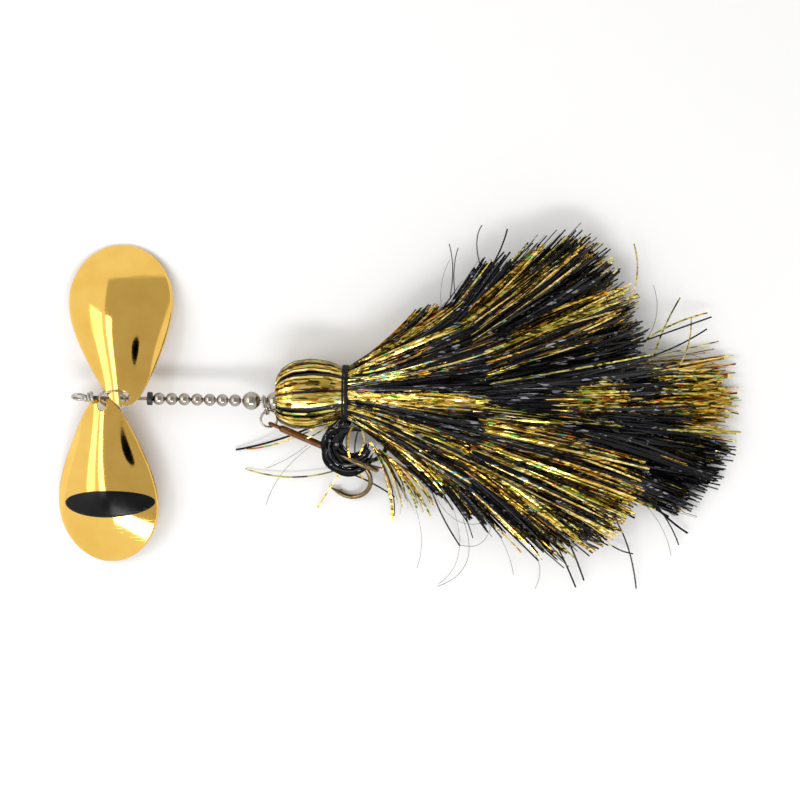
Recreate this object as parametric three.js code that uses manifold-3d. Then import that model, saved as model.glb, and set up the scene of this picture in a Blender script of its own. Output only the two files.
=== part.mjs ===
// An in-line spinnerbait for big pike: a straight wire shaft that carries two spinning blades, a row of
// bearing beads, three tied skirts of tinsel and two treble hooks. It lies on a table, as it is stored.
// Millimetres. +X runs along the shaft to the tail, +Y across it, +Z up off the table.
import * as THREE from "three";
import { mergeVertices } from "three/addons/utils/BufferGeometryUtils.js";
import Module from "manifold-3d";

const wasm = await Module();
wasm.setup();

// ---------------------------------------------------------------- driving dimensions
const SHAFT_RADIUS = 0.65; // spring wire of 1.3 mm
const SHAFT_HEIGHT = 11.8; // the shaft's axis above the table
const FRONT_EYE_RADIUS = 2.45; // to the middle of the wire
const REAR_EYE_RADIUS = 2.3;
const FRONT_EYE_TILT = 70; // degrees that the line tie is turned out of the table's plane
const WRAP_TURNS = 2.5;
const SHAFT_START = 5.4; // where the straight shaft leaves the line tie
const SHAFT_END = 149.6; // where it meets the rear eye

const BORE_RADIUS = 0.87; // every piece that runs on the shaft
const WASHER = { from: 29.05, to: 30.95, radius: 2.5 };
const SMALL_BEAD = { radius: 2.36, first: 33.45, pitch: 4.82, count: 7 };
const LARGE_BEAD_RADIUS = 3.5;
const LARGE_BEAD_XS = [68.55, 77.5];
const REAR_BEAD_X = 142.3;

const BLADE_LENGTH = 63.8;
const BLADE_DEPTH = 6.5; // how deep its bowl is
const BLADE_THICKNESS = 0.7;
const BLADE_HOLE_RADIUS = 1.9;
const BLADE_HOLE_FROM_TIP = 3.2;

const BADGE = { fromTip: 40.5, across: -1.2, halfWidth: 17.8, halfHeight: 5.2, thickness: 0.25, gap: 0.15 };

const BLADE_RING = { x: 16, y: -0.5, above: 1.75, radius: 5, wire: 0.34, tilt: 55 };
const UPPER_HOLE_ANGLE = 15; // where on the blade ring each blade hangs, in degrees
const LOWER_HOLE_ANGLE = 225;
const LOWER_HOLE_SLACK = new THREE.Vector3(-0.8, -0.5, 0.2); // from the ring's wire to its hole's middle
const LOWER_BLADE_ROLL = 11; // degrees

const CLEVIS = { from: 18.2, to: 22.2, reach: 3.5, lift: 25, wire: 0.42, eyeRadius: 1.35 };

const HANGER = { x: 73.87, y: -1.47, below: 0.2, radius: 3.6, wire: 0.36, turn: 15 };
const FRONT_RING = { x: 75.35, y: -6.75, radius: 3.2, wire: 0.38, tilt: 20 };
const REAR_RING = { x: 155.8, radius: 3.2, wire: 0.38, tilt: 20 };
const SEAM_WIDTH = 70; // degrees of a split ring where its wire steps from one coil to the other

const HOOK = {
  eyeRadius: 2.05, // to the middle of the wire
  eyeWire: 0.7,
  shankRadius: 1.35,
  wire: 0.9,
  bendStart: 34.5, // from the middle of the eye to where the wires curl out
  spread: 16.7, // from the shank to the outside wire
  pointBack: 27.8, // from the middle of the eye to the point
  pointIn: 15.7, // the point's distance from the shank
};
const HOOK_HEIGHT = 9.45; // the shank over the table, with two of its bends resting on it
const FRONT_HOOK_EYE = { x: 77.5, y: -9.2 };
const FRONT_HOOK_HEADING = -21.8; // degrees from the shaft, seen from above
const REAR_HOOK_EYE = { x: 159.3, y: 0 };

const CORE_RADIUS = 3; // the tubes that the skirts are tied on
const CORES = [
  ["front_core_tube", 82.4, 106.6],
  ["middle_core_tube", 107, 124.6],
  ["rear_core_tube", 125, 139.6],
];
const GAP = 0.3; // between pieces that touch
const TABLE_GAP = 0.06; // under what rests on the table beside the skirts

// Tinsel skirts. Each row is one cross-section: [x, middle y, half width, lowest z, highest z].
const FRONT_SKIRT = [
  [77.6, 1.6, 6.5, 5, 18.5],
  [79.5, 2, 10.8, 1.9, 22.2],
  [84, 3, 13.1, 0.3, 24],
  [91, 3.2, 13.9, -1.6, 24.4],
  [98, 3.7, 12, 1.2, 23],
  [102.6, 3.8, 10, 2.2, 21.4],
  [105.6, 3.8, 10, 2.2, 21.4],
  [112, 4, 14.3, 1.4, 23],
  [127, 4.6, 25.4, -1.6, 28],
  [142, 6.1, 35.5, -1.6, 32.5],
  [152, 8.5, 43, -1.6, 34.4],
  [160, 9.2, 45, -1.6, 34],
];
const MIDDLE_SKIRT = [
  [111, 0, 4.6, 7.2, 16.4],
  [113.6, 0, 6.8, 5, 18.6],
  [116, 0, 5, 6.8, 16.8],
  [119, 0, 5, 6.8, 16.8],
  [127, 2.6, 19, 1.4, 25.4],
  [142, 4.8, 31, -1.6, 30.2],
  [156, 8.6, 43, -1.6, 32.2],
  [163, 9.4, 50, -1.6, 32.8],
  [176, 8.2, 54.8, -1.6, 33],
  [188, 8.3, 57.6, -1.6, 32.8],
  [199, 6.4, 51.5, -1.6, 31.6],
  [208, 3.5, 46, -1.6, 27],
];
const REAR_SKIRT = [
  [129, 0, 4.4, 7.4, 16.2],
  [131.4, 0, 6.4, 5.4, 18.2],
  [133.6, 0, 4.8, 7, 16.6],
  [136.4, 0, 4.8, 7, 16.6],
  [144, 1, 12, 3, 24],
  [152, 1, 22, -1.6, 30],
  [162, 1, 25.5, -1.6, 31.3],
  [200, 0, 26.5, -1.6, 31.3],
  [212, -2.5, 26.5, -1.6, 24],
  [228, -4.6, 25.5, -1.6, 16],
  [246, -5.2, 26.2, -1.6, 11.5],
  [253, -5, 24.5, 0.4, 9],
];
// The hollow that the strands leave round the rear hook, open to the table.
const HOOK_HOLLOW = [
  [142, 0, 5, -20, 20],
  [147, 0, 9, -24, 24],
  [152, 0, 16, -27, 27],
  [162, 0, 22, -29.6, 29.6],
  [202, 0, 22.4, -29.6, 29.6],
  [207, 0, 20.6, -22, 22],
];
// Room under the skirts for the front hook to lie in and to swing: a ring sector round its eye.
const SWING_ROOM = { inner: 23.6, outer: 47.5, from: -85, to: 12, top: 12 };

// Thread wound round each skirt's waist: [name, x, middle y, half width, half height].
const COLLARS = [
  ["front_thread_collar", 104.1, 3.8, 10.7, 10.3],
  ["middle_thread_collar", 117.5, 0, 5.7, 5.7],
  ["rear_thread_collar", 135, 0, 5.5, 5.5],
];
const COLLAR = { length: 2.2, thickness: 0.6 };

const CHROME = { color: 0xc9c6c0, metalness: 1, roughness: 0.18 };
const WIRE_STEEL = { color: 0xa8a7a5, metalness: 1, roughness: 0.3 };
const GOLD_PLATE = { color: 0xe2b143, metalness: 1, roughness: 0.12 };
const BRONZE = { color: 0x6d5331, metalness: 1, roughness: 0.35 };
const BLACK_PLASTIC = { color: 0x111113, metalness: 0, roughness: 0.4 };
const BLACK_THREAD = { color: 0x0c0b10, metalness: 0, roughness: 0.75 };
const TINSEL = { color: 0x6f5a1c, metalness: 0.6, roughness: 0.35 };
const CORE_PLASTIC = { color: 0xb9b6ad, metalness: 0, roughness: 0.5 };

const radians = THREE.MathUtils.degToRad;
const lure = new THREE.Group();

// ---------------------------------------------------------------- solids
function solidOf(geometry) {
  const bare = geometry.clone();
  bare.deleteAttribute("normal");
  bare.deleteAttribute("uv");
  const merged = mergeVertices(bare, 1e-4);
  const mesh = new wasm.Mesh({
    numProp: 3,
    vertProperties: new Float32Array(merged.attributes.position.array),
    triVerts: new Uint32Array(merged.index.array),
  });
  return new wasm.Manifold(mesh);
}

function geometryOf(solid) {
  const { numProp, vertProperties, triVerts } = solid.getMesh();
  const position = new Float32Array((vertProperties.length / numProp) * 3);
  for (let i = 0; i * numProp < vertProperties.length; i++)
    position.set(vertProperties.subarray(i * numProp, i * numProp + 3), i * 3);
  return new THREE.BufferGeometry()
    .setAttribute("position", new THREE.BufferAttribute(position, 3))
    .setIndex(new THREE.BufferAttribute(triVerts, 1));
}

const join = (geometries) => geometryOf(geometries.map(solidOf).reduce((a, b) => a.add(b)));
const common = (a, b) => geometryOf(solidOf(a).intersect(solidOf(b)));

function cut(geometry, tools) {
  return geometryOf(tools.map(solidOf).reduce((rest, tool) => rest.subtract(tool), solidOf(geometry)));
}

function add(name, geometry, look) {
  const mesh = new THREE.Mesh(geometry, new THREE.MeshStandardMaterial(look));
  mesh.name = name;
  lure.add(mesh);
  return mesh;
}

// A round wire along a curve, with closed ends.
function wireAlong(curve, radius, steps, sides = 8) {
  const section = new THREE.Shape();
  for (let i = 0; i < sides; i++) {
    const angle = (2 * Math.PI * i) / sides;
    const [x, y] = [radius * Math.cos(angle), radius * Math.sin(angle)];
    if (i === 0) section.moveTo(x, y);
    else section.lineTo(x, y);
  }
  section.closePath();
  return new THREE.ExtrudeGeometry(section, { steps, extrudePath: curve, bevelEnabled: false });
}

// A coil of wire round the X axis: turns of one radius, each moved along X by pitch.
class Coil extends THREE.Curve {
  constructor(radius, pitch, turns) {
    super();
    Object.assign(this, { radius, pitch, turns });
  }
  getPoint(t, target = new THREE.Vector3()) {
    const angle = 2 * Math.PI * this.turns * t;
    const along = this.pitch * this.turns * t;
    return target.set(along, this.radius * Math.cos(angle), this.radius * Math.sin(angle));
  }
}

// A lathe turned about the X axis. The profile is [x, radius] points.
function turned(profile, segments) {
  const points = profile.map(([x, radius]) => new THREE.Vector2(radius, x));
  return new THREE.LatheGeometry(points, segments).rotateZ(-Math.PI / 2);
}

function rod(x0, x1, radius, sides) {
  const standing = new THREE.CylinderGeometry(radius, radius, x1 - x0, sides);
  return standing.rotateZ(Math.PI / 2).translate((x0 + x1) / 2, 0, 0);
}

// ---------------------------------------------------------------- shaft
// One wire: a straight shaft with an eye at each end, closed by wrapping the wire round itself.
function wrappedEye(eyeRadius) {
  const opening = radians(28);
  const eye = new THREE.EllipseCurve(0, 0, eyeRadius, eyeRadius, opening, 2 * Math.PI - opening);
  const path = new THREE.CatmullRomCurve3(eye.getPoints(16).map((p) => new THREE.Vector3(p.x, p.y, 0)));
  const coil = new Coil(SHAFT_RADIUS * 1.8, 2 * SHAFT_RADIUS - 0.06, WRAP_TURNS);
  const wraps = wireAlong(coil, SHAFT_RADIUS, 10 * WRAP_TURNS, 6).translate(eyeRadius - 0.1, 0, 0);
  const neck = rod(eyeRadius - 0.9, eyeRadius + 1.2, SHAFT_RADIUS * 1.35, 8);
  return [wireAlong(path, SHAFT_RADIUS, 16, 6), wraps, neck];
}

function shaft() {
  const front = wrappedEye(FRONT_EYE_RADIUS).map((g) =>
    g.rotateX(radians(FRONT_EYE_TILT)).translate(FRONT_EYE_RADIUS + SHAFT_RADIUS, 0, 0),
  );
  const rear = wrappedEye(REAR_EYE_RADIUS).map((g) =>
    g.rotateX(Math.PI / 2).rotateZ(Math.PI).translate(SHAFT_END + REAR_EYE_RADIUS, 0, 0),
  );
  const straight = rod(SHAFT_START, SHAFT_END, SHAFT_RADIUS, 10);
  // The cut end of the front eye's wraps sticks out a little.
  const tagLine = new THREE.LineCurve3(new THREE.Vector3(7.3, 0.9, 0.4), new THREE.Vector3(7.8, 2, 0.8));
  const tagEnd = wireAlong(tagLine, SHAFT_RADIUS * 0.9, 1);
  add("wire_shaft", join([straight, ...front, ...rear, tagEnd]), WIRE_STEEL).position.z = SHAFT_HEIGHT;
}

// ---------------------------------------------------------------- beads on the shaft
function bead(name, x, radius, look, segments) {
  const ringCount = 7;
  const edge = Math.asin(BORE_RADIUS / radius);
  const profile = [];
  for (let i = 0; i <= ringCount; i++) {
    const angle = edge + ((Math.PI - 2 * edge) * i) / ringCount;
    profile.push([-radius * Math.cos(angle), radius * Math.sin(angle)]);
  }
  profile.push(profile[0]);
  add(name, turned(profile, segments), look).position.set(x, 0, SHAFT_HEIGHT);
}

function tube(name, x0, x1, outer, look) {
  const half = (x1 - x0) / 2;
  const profile = [
    [-half, BORE_RADIUS],
    [-half, outer],
    [half, outer],
    [half, BORE_RADIUS],
    [-half, BORE_RADIUS],
  ];
  add(name, turned(profile, 16), look).position.set((x0 + x1) / 2, 0, SHAFT_HEIGHT);
}

// ---------------------------------------------------------------- rings
// Two flat coils of one wire, one on the other, in the XY plane. The wire steps up at the seam.
class SplitRing extends THREE.Curve {
  constructor(radius, step, seam) {
    super();
    Object.assign(this, { radius, step, seam });
  }
  getPoint(t, target = new THREE.Vector3()) {
    const width = radians(SEAM_WIDTH);
    const angle = width / 2 + (4 * Math.PI - width) * t;
    const climb = THREE.MathUtils.smoothstep(angle, 2 * Math.PI - width / 2, 2 * Math.PI + width / 2);
    const turn = angle + radians(this.seam);
    return target.set(this.radius * Math.cos(turn), this.radius * Math.sin(turn), this.step * (climb - 0.5));
  }
}

function splitRing({ radius, wire }, seam) {
  return wireAlong(new SplitRing(radius, 2 * wire + 0.03, seam), wire, 40, 6);
}

// Where a point at an angle round a tilted ring is. Tilt raises its +Y side.
function onRing(ring, centreHeight, degrees) {
  const along = ring.radius * Math.cos(radians(degrees));
  const across = ring.radius * Math.sin(radians(degrees));
  const tilt = radians(ring.tilt);
  const height = centreHeight + across * Math.sin(tilt);
  return new THREE.Vector3(ring.x + along, ring.y + across * Math.cos(tilt), height);
}

// ---------------------------------------------------------------- blades
// Half the blade's width at a share t of its length from the tip: a teardrop.
function bladeHalfWidth(t) {
  const swell = Math.sin((Math.PI * t) / 2) ** 2;
  return BLADE_LENGTH * Math.sqrt(t * (1 - t) * (0.153 + 0.378 * swell));
}

// How high the bowl stands over the blade's rim at a share t of the length and s of the half width.
function bladeRise(t, s) {
  return BLADE_DEPTH * Math.sin(Math.PI * t) * (1 - s * s);
}

// Moves each vertex of a geometry as place says.
function shaped(geometry, place) {
  const position = geometry.attributes.position;
  const point = new THREE.Vector3();
  for (let i = 0; i < position.count; i++) {
    point.fromBufferAttribute(position, i);
    place(point);
    position.setXYZ(i, point.x, point.y, point.z);
  }
  return geometry;
}

// A layer of a blade between two offsets from its middle surface. Its hole is at the origin, its length
// runs along +Y and its hollow side is down.
function bladeSheet(inside, outside) {
  const end = 0.0025; // the share of the length that each rounded end leaves out
  const holeRise = bladeRise(BLADE_HOLE_FROM_TIP / BLADE_LENGTH, 0);
  return shaped(new THREE.BoxGeometry(1, 1, 1, 8, 18, 1), (p) => {
    const t = end + (1 - 2 * end) * (0.5 - 0.5 * Math.cos(Math.PI * (p.y + 0.5)));
    const s = 2 * p.x;
    const over = THREE.MathUtils.lerp(inside, outside, p.z + 0.5);
    p.set(s * bladeHalfWidth(t), t * BLADE_LENGTH, bladeRise(t, s) + over);
  }).translate(0, -BLADE_HOLE_FROM_TIP, -holeRise);
}

function blade() {
  const sheet = bladeSheet(-BLADE_THICKNESS / 2, BLADE_THICKNESS / 2);
  const hole = new THREE.CylinderGeometry(BLADE_HOLE_RADIUS, BLADE_HOLE_RADIUS, 4, 16).rotateX(Math.PI / 2);
  return cut(sheet, [hole]);
}

// A thin oval label that follows the blade's outside.
function badge() {
  const { fromTip, across, halfWidth, halfHeight, thickness, gap } = BADGE;
  const raised = bladeSheet(BLADE_THICKNESS / 2 + gap, BLADE_THICKNESS / 2 + gap + thickness);
  const oval = new THREE.CylinderGeometry(1, 1, 40, 32).rotateX(Math.PI / 2).scale(halfWidth, halfHeight, 1);
  return common(raised, oval.translate(across, fromTip - BLADE_HOLE_FROM_TIP, 0));
}

// Hangs a blade at its hole and lowers its far end till its rim is just over the table.
function layDown(object, hole, heading, roll) {
  const reach = BLADE_LENGTH - BLADE_HOLE_FROM_TIP;
  object.position.copy(hole);
  object.rotation.set(0, roll, heading, "ZXY");
  for (let i = 0; i < 5; i++) {
    const low = new THREE.Box3().setFromObject(object, true).min.z;
    object.rotation.x -= (low - TABLE_GAP) / reach;
  }
}

function blades() {
  const ringHeight = SHAFT_HEIGHT + BLADE_RING.above;
  const ring = add("blade_split_ring", splitRing(BLADE_RING, 90), CHROME);
  ring.position.set(BLADE_RING.x, BLADE_RING.y, ringHeight);
  ring.rotation.x = radians(BLADE_RING.tilt);

  const upperHole = onRing(BLADE_RING, ringHeight, UPPER_HOLE_ANGLE);
  const lowerHole = onRing(BLADE_RING, ringHeight, LOWER_HOLE_ANGLE).add(LOWER_HOLE_SLACK);
  layDown(add("plain_blade", blade(), GOLD_PLATE), upperHole, radians(5.6), 0);
  const lower = add("badge_blade", blade(), GOLD_PLATE);
  layDown(lower, lowerHole, Math.PI + radians(3.6), radians(LOWER_BLADE_ROLL));
  const label = add("blade_badge", badge(), BLACK_PLASTIC);
  label.position.copy(lower.position);
  label.rotation.copy(lower.rotation);
}

// The clevis: a wire stirrup whose two eyes run on the shaft, and whose bow holds the blade ring.
function clevis() {
  const { from, to, reach, lift, wire, eyeRadius } = CLEVIS;
  const eye = new THREE.TorusGeometry(eyeRadius, wire, 7, 18).rotateY(Math.PI / 2);
  const eyes = [from, to].map((x) => eye.clone().translate(x, 0, 0));
  const corner = 0.8;
  const bow = new THREE.CatmullRomCurve3([
    new THREE.Vector3(from, -eyeRadius, 0),
    new THREE.Vector3(from, -reach + corner, 0),
    new THREE.Vector3(from + corner, -reach, 0),
    new THREE.Vector3(to - corner, -reach, 0),
    new THREE.Vector3(to, -reach + corner, 0),
    new THREE.Vector3(to, -eyeRadius, 0),
  ]);
  const mesh = add("blade_clevis", join([...eyes, wireAlong(bow, wire, 22, 7)]), WIRE_STEEL);
  mesh.position.z = SHAFT_HEIGHT;
  mesh.rotation.x = -radians(lift);
}

// ---------------------------------------------------------------- hooks
// One treble: eye at the origin, shank along +X, three bends spread round it, the first straight up.
function trebleHook() {
  const { eyeRadius, eyeWire, shankRadius, wire, bendStart, spread, pointBack, pointIn } = HOOK;
  const bendRadius = (spread - wire) / 2;
  const bendCentre = new THREE.Vector3(bendStart, 0, wire + bendRadius);
  const path = [new THREE.Vector3(24, 0, wire * 0.8), new THREE.Vector3(30, 0, wire)];
  for (let i = 0; i <= 10; i++) {
    const angle = -Math.PI / 2 + (Math.PI * i) / 10;
    const fromCentre = new THREE.Vector3(bendRadius * Math.cos(angle), 0, bendRadius * Math.sin(angle));
    path.push(fromCentre.add(bendCentre));
  }
  const pointStart = new THREE.Vector3(bendStart - 1.6, 0, spread - 0.12);
  const point = new THREE.Vector3(pointBack, 0, pointIn);
  path.push(pointStart);
  const bend = wireAlong(new THREE.CatmullRomCurve3(path), wire, 20, 6);
  const tip = spike(pointStart.clone().lerp(point, -0.03), point, wire, 0.12);
  const barbFoot = pointStart.clone().lerp(point, 0.3);
  const barb = spike(barbFoot, barbFoot.clone().add(new THREE.Vector3(1.1, 0, -1.5)), wire * 0.55, 0.08);
  const prong = join([bend, tip, barb]);
  const prongs = [0, 120, 240].map((angle) => prong.clone().rotateX(radians(angle)));
  const eye = new THREE.TorusGeometry(eyeRadius, eyeWire, 6, 16).rotateX(Math.PI / 2);
  const shank = rod(eyeRadius, 29, shankRadius, 10);
  return join([eye, shank, ...prongs]);
}

function spike(from, to, thick, thin) {
  const length = from.distanceTo(to);
  const up = new THREE.Vector3(0, 1, 0);
  const turn = new THREE.Quaternion().setFromUnitVectors(up, to.clone().sub(from).normalize());
  return new THREE.CylinderGeometry(thin, thick, length, 6)
    .applyQuaternion(turn)
    .translate((from.x + to.x) / 2, (from.y + to.y) / 2, (from.z + to.z) / 2);
}

function hooks() {
  const hanger = add("hook_hanger_ring", splitRing(HANGER, 90), CHROME);
  hanger.position.set(HANGER.x, HANGER.y, SHAFT_HEIGHT - HANGER.below);
  hanger.rotation.set(0, Math.PI / 2, radians(HANGER.turn), "ZYX");

  // The front ring leans down from the hanger to the hook's eye.
  const heading = Math.atan2(FRONT_HOOK_EYE.y - FRONT_RING.y, FRONT_HOOK_EYE.x - FRONT_RING.x);
  const frontRing = add("front_split_ring", splitRing(FRONT_RING, 70), CHROME);
  const frontDrop = FRONT_RING.radius * Math.sin(radians(FRONT_RING.tilt));
  frontRing.position.set(FRONT_RING.x, FRONT_RING.y, HOOK_HEIGHT + frontDrop);
  frontRing.rotation.set(0, radians(FRONT_RING.tilt), heading, "ZYX");

  const frontHook = add("front_treble_hook", trebleHook(), BRONZE);
  frontHook.position.set(FRONT_HOOK_EYE.x, FRONT_HOOK_EYE.y, HOOK_HEIGHT);
  frontHook.rotation.z = radians(FRONT_HOOK_HEADING);

  const rearRing = add("rear_split_ring", splitRing(REAR_RING, 90), CHROME);
  const rearDrop = REAR_RING.radius * Math.sin(radians(REAR_RING.tilt));
  rearRing.position.set(REAR_RING.x, 0, HOOK_HEIGHT + rearDrop);
  rearRing.rotation.y = radians(REAR_RING.tilt);

  const rearHook = add("rear_treble_hook", trebleHook(), BRONZE);
  rearHook.position.set(REAR_HOOK_EYE.x, REAR_HOOK_EYE.y, HOOK_HEIGHT);
}

// ---------------------------------------------------------------- skirts
// A closed body through a list of cross-sections, flat where it lies on the table.
function loft(rows, grow = 0, floor = 0) {
  const sides = 24;
  const cylinder = new THREE.CylinderGeometry(1, 1, 1, sides, rows.length - 1, false);
  return shaped(cylinder, (p) => {
    const index = Math.round((p.y + 0.5) * (rows.length - 1));
    const [at, middle, halfWidth, low, high] = rows[index];
    const x = at + (index === 0 ? -grow : 0) + (index === rows.length - 1 ? grow : 0);
    // The upper half is round and a little peaked. The lower half has squarer corners.
    const power = p.z > 0 ? [1, 1.15] : [0.6, 0.6];
    const across = -Math.sign(p.x) * Math.abs(p.x) ** power[0];
    const up = Math.sign(p.z) * Math.abs(p.z) ** power[1];
    const y = middle + across * (halfWidth + grow);
    const z = (low + high) / 2 + up * ((high - low) / 2 + grow);
    p.set(x, y, Math.max(z, floor));
  });
}

// The way through a skirt for the shaft, its beads and the core tubes.
function wayThrough() {
  const beadRoom = rod(70, LARGE_BEAD_XS[1] + LARGE_BEAD_RADIUS + 1, LARGE_BEAD_RADIUS + 0.5, 16);
  const coreRoom = rod(81, 151, CORE_RADIUS + GAP, 16);
  return join([beadRoom, coreRoom]).translate(0, 0, SHAFT_HEIGHT);
}

function swingRoom() {
  const { inner, outer, from, to, top } = SWING_ROOM;
  const sector = new THREE.Shape();
  sector.absarc(0, 0, outer, radians(from), radians(to), false);
  sector.absarc(0, 0, inner, radians(to), radians(from), true);
  const room = new THREE.ExtrudeGeometry(sector, { depth: top + 2, bevelEnabled: false, curveSegments: 8 });
  return room.translate(FRONT_HOOK_EYE.x, FRONT_HOOK_EYE.y, -2);
}

// The front hook's ring, eye and shank lie beside the skirt's head.
function hookRoom() {
  const shank = rod(-3, 30, HOOK.shankRadius + 1.1, 12).rotateZ(radians(FRONT_HOOK_HEADING));
  const eye = new THREE.CylinderGeometry(4.4, 4.4, 9, 16).rotateX(Math.PI / 2);
  shank.translate(FRONT_HOOK_EYE.x, FRONT_HOOK_EYE.y, 0);
  eye.translate(FRONT_RING.x, FRONT_RING.y, 1);
  return join([shank, eye]).translate(0, 0, HOOK_HEIGHT);
}

// A band round a waist, grown on every side when room is wanted for it.
function collar([, x, across, halfWidth, halfHeight], grow = 0) {
  const { length, thickness } = COLLAR;
  const inside = thickness + grow;
  const outer = rod(-length / 2 - grow, length / 2 + grow, 1, 24);
  outer.scale(1, halfWidth + grow, halfHeight + grow);
  const inner = rod(-length, length, 1, 24).scale(1, halfWidth - inside, halfHeight - inside);
  return cut(outer, [inner]).translate(x, across, SHAFT_HEIGHT);
}

function skirts() {
  const bands = COLLARS.map((row) => collar(row, GAP));
  const rooms = [wayThrough(), swingRoom(), hookRoom(), loft(HOOK_HOLLOW, 0, -40), ...bands];
  const middleInside = loft(MIDDLE_SKIRT, GAP, -5);
  const rearInside = loft(REAR_SKIRT, GAP, -5);
  add("front_skirt", cut(loft(FRONT_SKIRT), [...rooms, middleInside, rearInside]), TINSEL);
  add("middle_skirt", cut(loft(MIDDLE_SKIRT), [...rooms, rearInside]), TINSEL);
  add("rear_skirt", cut(loft(REAR_SKIRT), rooms), TINSEL);
  for (const row of COLLARS) add(row[0], collar(row), BLACK_THREAD);
}

// ---------------------------------------------------------------- the whole lure
shaft();
clevis();
blades();
tube("bearing_washer", WASHER.from, WASHER.to, WASHER.radius, BLACK_PLASTIC);
for (let i = 0; i < SMALL_BEAD.count; i++)
  bead(`small_bead_${i + 1}`, SMALL_BEAD.first + i * SMALL_BEAD.pitch, SMALL_BEAD.radius, CHROME, 14);
LARGE_BEAD_XS.forEach((x, i) => bead(`large_bead_${i + 1}`, x, LARGE_BEAD_RADIUS, CHROME, 18));
bead("rear_bead", REAR_BEAD_X, SMALL_BEAD.radius, CHROME, 14);
for (const [name, from, to] of CORES) tube(name, from, to, CORE_RADIUS, CORE_PLASTIC);
hooks();
skirts();

// The origin is under the middle of the lure, on the table.
const bounds = new THREE.Box3().setFromObject(lure, true);
const middle = bounds.getCenter(new THREE.Vector3());
lure.position.set(-middle.x, -middle.y, -bounds.min.z);

export default lure;
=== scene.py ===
"""An in-line spinnerbait on a white table: gilt blades, nickel beads, bronzed hooks and tinsel skirts."""

import math

import bpy
import numpy as np
from mathutils import Matrix, Vector


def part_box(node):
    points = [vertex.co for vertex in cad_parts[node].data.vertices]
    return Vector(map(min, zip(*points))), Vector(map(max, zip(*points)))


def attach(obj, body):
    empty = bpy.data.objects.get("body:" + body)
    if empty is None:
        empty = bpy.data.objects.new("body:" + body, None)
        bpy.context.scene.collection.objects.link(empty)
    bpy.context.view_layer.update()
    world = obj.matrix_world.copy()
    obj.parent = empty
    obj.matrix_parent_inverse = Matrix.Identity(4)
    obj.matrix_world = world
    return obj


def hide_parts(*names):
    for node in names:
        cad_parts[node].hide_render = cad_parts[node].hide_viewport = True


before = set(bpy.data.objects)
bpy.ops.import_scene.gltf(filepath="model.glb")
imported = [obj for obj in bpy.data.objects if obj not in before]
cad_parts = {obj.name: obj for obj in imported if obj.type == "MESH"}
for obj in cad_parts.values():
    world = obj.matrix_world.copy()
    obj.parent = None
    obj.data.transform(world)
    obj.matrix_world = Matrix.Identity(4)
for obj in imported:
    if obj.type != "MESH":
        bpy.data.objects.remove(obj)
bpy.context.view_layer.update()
rng = np.random.default_rng(20)

# ---------------------------------------------------------------- places, in millimetres
# Every piece is made in the lure's own frame: x from the front of the line tie, y from the shaft and z
# from the table. ORIGIN is where that frame's zero point lies in the scene.
FIRST_BEAD_X = 33.45
bead_low, bead_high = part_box("small_bead_1")
bead_centre = (bead_low + bead_high) / 2 * 1000
ORIGIN = np.array([bead_centre.x - FIRST_BEAD_X, bead_centre.y, 0.0])
AXIS = bead_centre.z  # the shaft's height over the table

SHAFT_RADIUS = 0.65
FRONT_EYE, REAR_EYE = 2.45, 2.3  # radii of the shaft's two wrapped eyes
REAR_EYE_X = 149.6
BORE = 0.87  # radius of the hole through beads, washer and core tubes
SMALL_BEAD, LARGE_BEAD = 2.36, 3.5  # radii
BLADE_LENGTH, BLADE_DEPTH, BLADE_THICKNESS = 63.8, 6.5, 0.7
HOLE_RADIUS, HOLE_FROM_TIP = 1.9, 3.2
BLADE_GAP = 0.06  # from the blades' rims to the table
BLADE_RING, BLADE_RING_TILT = 5, 55  # radius, and degrees about X
BLADE_RING_CENTRE = np.array([16, -0.5, AXIS + 1.75])
HOOK_HEIGHT = 9.45  # of the hooks' eyes and shanks
HOOK_RING, HOOK_RING_TILT = 3.2, 20  # radius, and degrees about Y
FRONT_HOOK_EYE, REAR_HOOK_EYE = (77.5, -9.2), (159.3, 0)


# ---------------------------------------------------------------- mesh helpers
def turn(axis, degrees):
    return np.array(Matrix.Rotation(math.radians(degrees), 3, axis))


def placed(part, rotation=np.eye(3), offset=(0, 0, 0)):
    verts, faces = part
    return verts @ rotation.T + np.array(offset, float), faces


def joined(parts):
    verts, faces, start = [], [], 0
    for v, f in parts:
        verts.append(v)
        faces.extend([tuple(i + start for i in face) for face in f])
        start += len(v)
    return np.concatenate(verts), faces


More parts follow.
